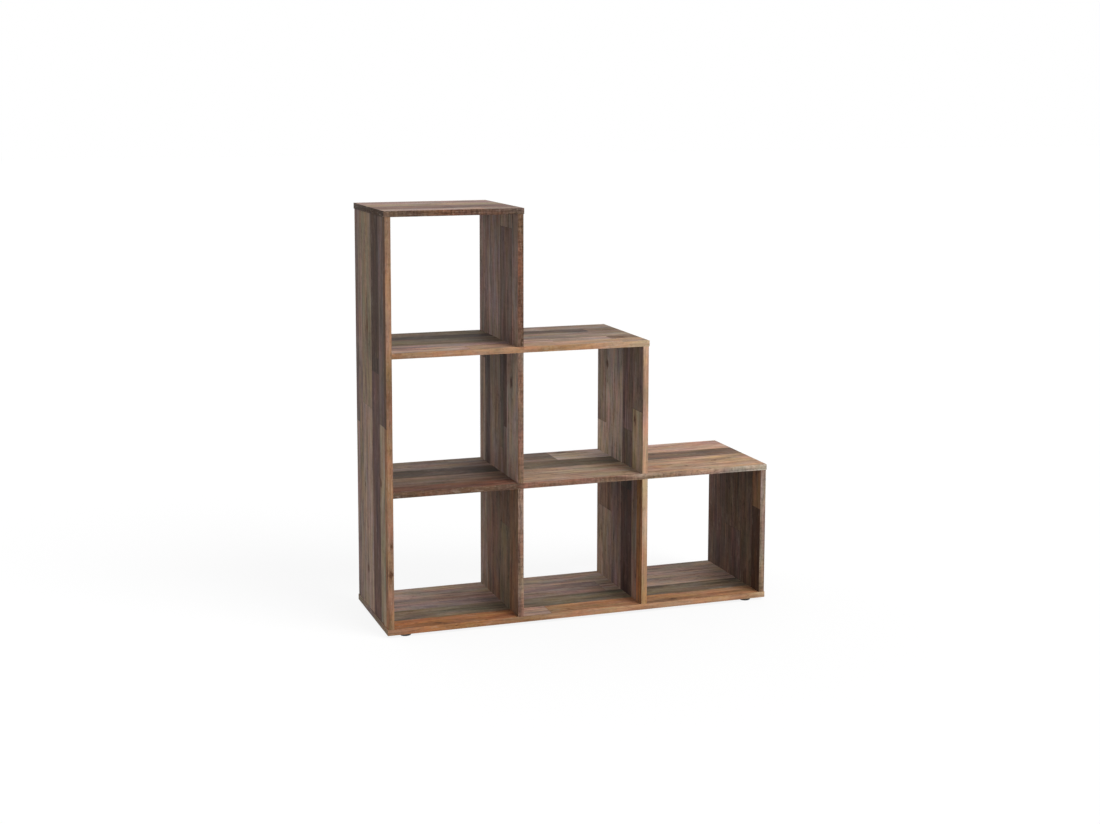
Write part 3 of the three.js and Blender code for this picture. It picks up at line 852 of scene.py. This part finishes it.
# The middle shelf: one board from the left side panel over both lower dividers to the right end, where it
# caps the low column. It has a broad beige plank in front and a dark one behind it.
board(
    "middle_shelf",
    [(56, "red_brown", -0.165, "beige", 0.172, "tan"),
     (92, "grey_brown", -0.165, "beige", 0.172, "tan"),
     (78, "slate", -0.165, "olive_grey", 0.172, "grey_brown"),
     (104, "grey_taupe", 0.010, "pale_taupe", 0.172, "pink_beige")],
    [(82, "grey_taupe", 0.15, "taupe"), (100, "olive_taupe", -0.20, "grey_brown"), (62, "mauve_brown"),
     (86, "taupe", -0.10, "mauve_taupe")],
    [((0.41, 0.092, FACE), 0.008), ((-0.236, 0.07, FACE), 0.011), ((0.05, 0.312, FACE), 0.014),
     ((0.31, 0.05, FACE), 0.006)],
    front=[(-0.5, "walnut"), (-0.4, "rust"), (-0.3, "walnut"), (-0.18, "walnut"), (-0.16, "russet"),
           (-0.04, "russet"), (0.09, "brown_taupe"), (0.12, "driftwood"), (0.17, "beige"),
           (0.26, "driftwood"), (0.37, "beige"), (0.5, "pale_taupe")],
    front_flecks=0.5,
    back=[(-0.5, "drift"), (-0.2, "chestnut"), (0.1, "driftwood"), (0.5, "tan")],
    ends=[(-0.16, "driftwood"), (0.0, "brown_taupe"), (0.16, "drift")], banded=("right",))


# The upper dividers: two boards between the middle and the upper shelf, in pale, grey and mauve taupe
# planks with a few knots.
board(
    "left_divider_middle",
    [(92, "pale_taupe"), (30, "mauve_taupe", 0.50, "mauve_brown"), (26, "taupe", 0.44, "grey_taupe"),
     # the rear plank turns grey brown above 0.655, in the bay's top rear corner: a butt joint in the print
     # and painted shade under the upper shelf
     (88, "taupe"), (46, "mauve_grey"), (48, "taupe", 0.655, "grey_brown")],
    [(76, "taupe", 0.56, "olive_taupe"), (92, "grey_brown"), (84, "grey_taupe"), (78, "mauve_taupe")],
    [((0.625, 0.056, FACE), 0.014)],
    front=[(0.38, "brown_taupe"), (0.46, "chestnut"), (0.58, "chestnut"), (0.7, "grey_brown")],
    front_flecks=0.6,
    back=[(0.38, "grey_taupe"), (0.55, "nut"), (0.7, "brown_taupe")])
board(
    "right_divider_middle",
    [(70, "pale_olive", 0.534, "taupe"), (72, "grey_taupe", 0.47, "mauve_taupe"), (38, "pale_taupe"),
     (84, "pale_taupe"), (66, "pale_taupe", 0.46, "taupe")],
    [(100, "grey_taupe", 0.48, "mauve_taupe"), (84, "olive_taupe"), (76, "mauve_brown"), (70, "taupe")],
    [((0.625, 0.257, FACE), 0.012), ((0.507, 0.056, FACE), 0.011)],
    front=[(0.38, "blond"), (0.5, "blond"), (0.58, "tan"), (0.7, "straw")], front_flecks=0.2,
    back=[(0.38, "driftwood"), (0.55, "sand"), (0.7, "brown_taupe")])


# The upper shelf: one board from the left side panel over the left divider to the right end of column
# two, which it caps.
board(
    "upper_shelf",
    [(62, "pink_beige", -0.30, "tan", 0.11, "beige"),
     (48, "mauve_taupe", -0.165, "pink_beige", -0.06, "taupe", 0.10, "grey_brown"),
     (96, "olive_grey", -0.165, "grey_taupe"), (54, "slate", 0.09, "grey_brown"),
     (70, "olive_grey", -0.165, "grey_taupe")],
    [(92, "olive_taupe"), (74, "grey_brown", -0.30, "mauve_brown"), (88, "taupe", 0.02, "grey_taupe"),
     (76, "mauve_taupe")],
    [((0.135, 0.085, FACE), 0.013), ((-0.02, 0.13, -FACE), 0.011)],
    front=[(-0.5, "sand"), (-0.35, "sand"), (-0.2, "amber"), (-0.05, "sand"), (0.0, "amber"),
           (0.17, "straw")],
    front_flecks=0.25,
    back=[(-0.5, "grey_taupe"), (-0.3, "nut"), (-0.1, "drift"), (0.17, "driftwood")],
    ends=[(-0.16, "straw"), (0.0, "sand"), (0.16, "nut")], banded=("right",), end_flecks=0.3)


# The top divider: the board between the upper shelf and the top panel, with a plank in the middle that
# turns darker part-way down.
board(
    "left_divider_top",
    [(48, "rose_taupe"), (98, "mauve_taupe", 1.02, "pale_taupe"), (100, "rose_taupe"), (84, "mauve_taupe")],
    [(70, "taupe"), (110, "grey_taupe"), (88, "mauve_grey"), (62, "grey_brown")],
    [((0.80, 0.21, -FACE), 0.012)],
    front=[(0.73, "walnut"), (0.85, "rust"), (0.97, "rust"), (1.05, "walnut")], front_flecks=0.7,
    back=[(0.73, "grey_brown"), (0.9, "nut"), (1.05, "brown_taupe")])


# The top panel: it caps the tall column and stands two millimetres past it on both sides. Its edge bands
# are dark olive brown with reddish blotches.
board(
    "top_panel",
    [(60, "mauve_taupe", -0.26, "grey_taupe"), (105, "mauve_brown"), (60, "olive_taupe"),
     (105, "mauve_taupe")],
    [(80, "grey_taupe", -0.30, "taupe"), (96, "grey_brown"), (74, "olive_taupe"), (80, "mauve_taupe")],
    [],
    front=[(-0.52, "walnut"), (-0.45, "walnut"), (-0.36, "rust"), (-0.28, "walnut"), (-0.17, "walnut")],
    front_flecks=0.7,
    back=[(-0.52, "drift"), (-0.35, "chestnut"), (-0.17, "driftwood")],
    ends=[(-0.16, "bark"), (0.16, "bark")], banded=("left", "right"), end_flecks=0.6)


# The cam fittings: zinc cams let into the boards, each with the head of its bolt caught, which pull the
# joints tight. They stay hidden under their covers.
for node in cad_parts:
    if "cam_fitting" in node:
        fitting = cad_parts[node]
        fitting.data.materials.clear()
        fitting.data.materials.append(zinc)


# The cover discs: thin stick-on rounds of the boards' own decor over the cams, one for each cam.
DISC_RADIUS = 0.0095
DISC_THICKNESS = 0.0005
DISC_ROUND = 0.0002
CAM_RADIUS = 0.0075


def cover_disc(name, centre, outward, decor):
    """A stick-on round with a softened rim, lying on a board's face."""
    outward = Vector(outward)
    bpy.ops.object.select_all(action="DESELECT")
    bpy.ops.mesh.primitive_cylinder_add(vertices=48, radius=DISC_RADIUS, depth=DISC_THICKNESS,
                                        location=centre + outward * DISC_THICKNESS / 2,
                                        rotation=outward.to_track_quat("Z", "Y").to_euler())
    disc = bpy.context.object
    disc.name = disc.data.name = name
    bpy.ops.object.transform_apply(location=True, rotation=True, scale=True)
    round_outer_edges(disc, outward, DISC_ROUND, 2)
    disc.data.materials.append(decor)
    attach(disc, "root")


for node in sorted(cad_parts):
    if "cam_fitting" not in node:
        continue
    low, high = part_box(node)
    y = (low.y + high.y) / 2
    if node.endswith(("left_end_front", "left_end_back")):
        shelf = "middle_shelf" if "middle" in node else "upper_shelf"
        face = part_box(shelf)[0].z
        places = [(Vector((high.x - CAM_RADIUS, y, face)), (0, 0, -1), shelf, "shelf_decor", "")]
    else:
        below, above = {
            "left_side_top": ("left_side_panel", None),
            "left_divider_top": ("left_divider_top", None),
            "right_divider_upper": ("right_divider_middle", None),
            "right_side_middle": ("right_side_panel", None),
            "left_divider_middle": ("left_divider_bottom", "left_divider_middle"),
            "left_divider_upper": ("left_divider_middle", "left_divider_top"),
            "right_divider_middle": ("right_divider_bottom", "right_divider_middle"),
        }[node.split("fitting_")[1].rsplit("_", 2)[0]]
        inward = (-1, 0, 0) if "right_side" in node else (1, 0, 0)
        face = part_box(below)[0 if inward[0] < 0 else 1].x
        places = [(Vector((face, y, low.z + CAM_RADIUS)), inward, below, "upright_decor", "_lower")]
        if above:
            centre = Vector((face, y, high.z - CAM_RADIUS))
            places.append((centre, inward, above, "upright_decor", "_upper"))
    for centre, outward, holder, slot, label in places:
        decor = bpy.data.objects[holder + "_core"].data.materials[0]
        cover_disc(node.replace("fitting", "cover") + label, centre, outward, decor)


# The studio: a plain white floor that keeps the case's soft shadow, a white surround that also lights the
# case evenly, and two broad distant lamps, one from the front and one from behind.
FLOOR_SIZE = 60.0
SURROUND_LOW = 0.22
SURROUND_HIGH = 0.58
FLOOR_PAINT = 0.45
FLOOR_SEEN = 0.11
FLOOR_WHITE = 1.01  # just past white, so that the floor beyond the shadow has no tint
SKY_SHARE = 2 / 3  # a level floor sees the surround at this share of the way from low to high
SUNS = [
    ("key_lamp", (0.42, -0.62, 0.64), 0.91, 40),
    ("back_lamp", (-0.40, 0.66, 0.64), 0.36, 80),
]
SUNS_ON_FLOOR = [(share, Vector(direction).normalized().z) for _, direction, share, _ in SUNS]


def looked_at(tree, rays):
    """Whether a ray comes from the camera, straight or by way of gloss or glass."""
    indirect = calc(tree, "MAXIMUM", rays["Is Glossy Ray"], rays["Is Transmission Ray"])
    return calc(tree, "MAXIMUM", rays["Is Camera Ray"], indirect)


def white_floor():
    """White to the camera except for a soft shadow, plain white paint to the light, and open from below."""
    material = bpy.data.materials.new("floor_white")
    material.use_nodes = True
    tree = material.node_tree
    tree.nodes.clear()
    rays = add(tree, "ShaderNodeLightPath").outputs
    paint, faint = [add(tree, "ShaderNodeBsdfDiffuse", {"Color": (grey, grey, grey, 1)}).outputs[0]
                    for grey in (FLOOR_PAINT, FLOOR_SEEN)]
    light_on_floor = SURROUND_LOW + (SURROUND_HIGH - SURROUND_LOW) * SKY_SHARE
    light_on_floor += sum(strength * rise for strength, rise in SUNS_ON_FLOOR)
    glow_strength = FLOOR_WHITE - FLOOR_SEEN * light_on_floor
    glow = add(tree, "ShaderNodeEmission", {"Color": (1, 1, 1, 1), "Strength": glow_strength}).outputs[0]
    seen = add(tree, "ShaderNodeAddShader", {0: faint, 1: glow}).outputs[0]
    surface = add(tree, "ShaderNodeMixShader", {0: looked_at(tree, rays), 1: paint, 2: seen}).outputs[0]
    below = add(tree, "ShaderNodeNewGeometry").outputs["Backfacing"]
    open_side = times(tree, below, rays["Is Camera Ray"])
    clear = add(tree, "ShaderNodeBsdfTransparent").outputs[0]
    surface = add(tree, "ShaderNodeMixShader", {0: open_side, 1: surface, 2: clear}).outputs[0]
    add(tree, "ShaderNodeOutputMaterial", {"Surface": surface})
    return material


bpy.ops.object.select_all(action="DESELECT")
bpy.ops.mesh.primitive_plane_add(size=FLOOR_SIZE, location=(0, 0, 0))
floor = bpy.context.object
floor.name = "studio_floor"
floor.data.materials.append(white_floor())

world = bpy.data.worlds.new("surround")
world.use_nodes = True
bpy.context.scene.world = world
tree = world.node_tree
tree.nodes.clear()
rays = add(tree, "ShaderNodeLightPath").outputs
direction = add(tree, "ShaderNodeTexCoord").outputs["Generated"]
sky = span(tree, parts_of(tree, direction)["Z"], 0.0, 1.0, SURROUND_LOW, SURROUND_HIGH)
lit = add(tree, "ShaderNodeBackground", {"Color": (1, 1, 1, 1), "Strength": sky}).outputs[0]
white = add(tree, "ShaderNodeBackground", {"Color": (1, 1, 1, 1), "Strength": 1.0}).outputs[0]
surround = add(tree, "ShaderNodeMixShader", {0: looked_at(tree, rays), 1: lit, 2: white}).outputs[0]
add(tree, "ShaderNodeOutputWorld", {"Surface": surround})


for lamp_name, direction, share, spread in SUNS:
    data = bpy.data.lights.new(lamp_name, "SUN")
    data.energy = share * math.pi
    data.angle = math.radians(spread)
    lamp = bpy.data.objects.new(lamp_name, data)
    lamp.rotation_euler = Vector(direction).to_track_quat("Z", "Y").to_euler()
    bpy.context.scene.collection.objects.link(lamp)

bpy.context.scene.view_settings.view_transform = "Standard"
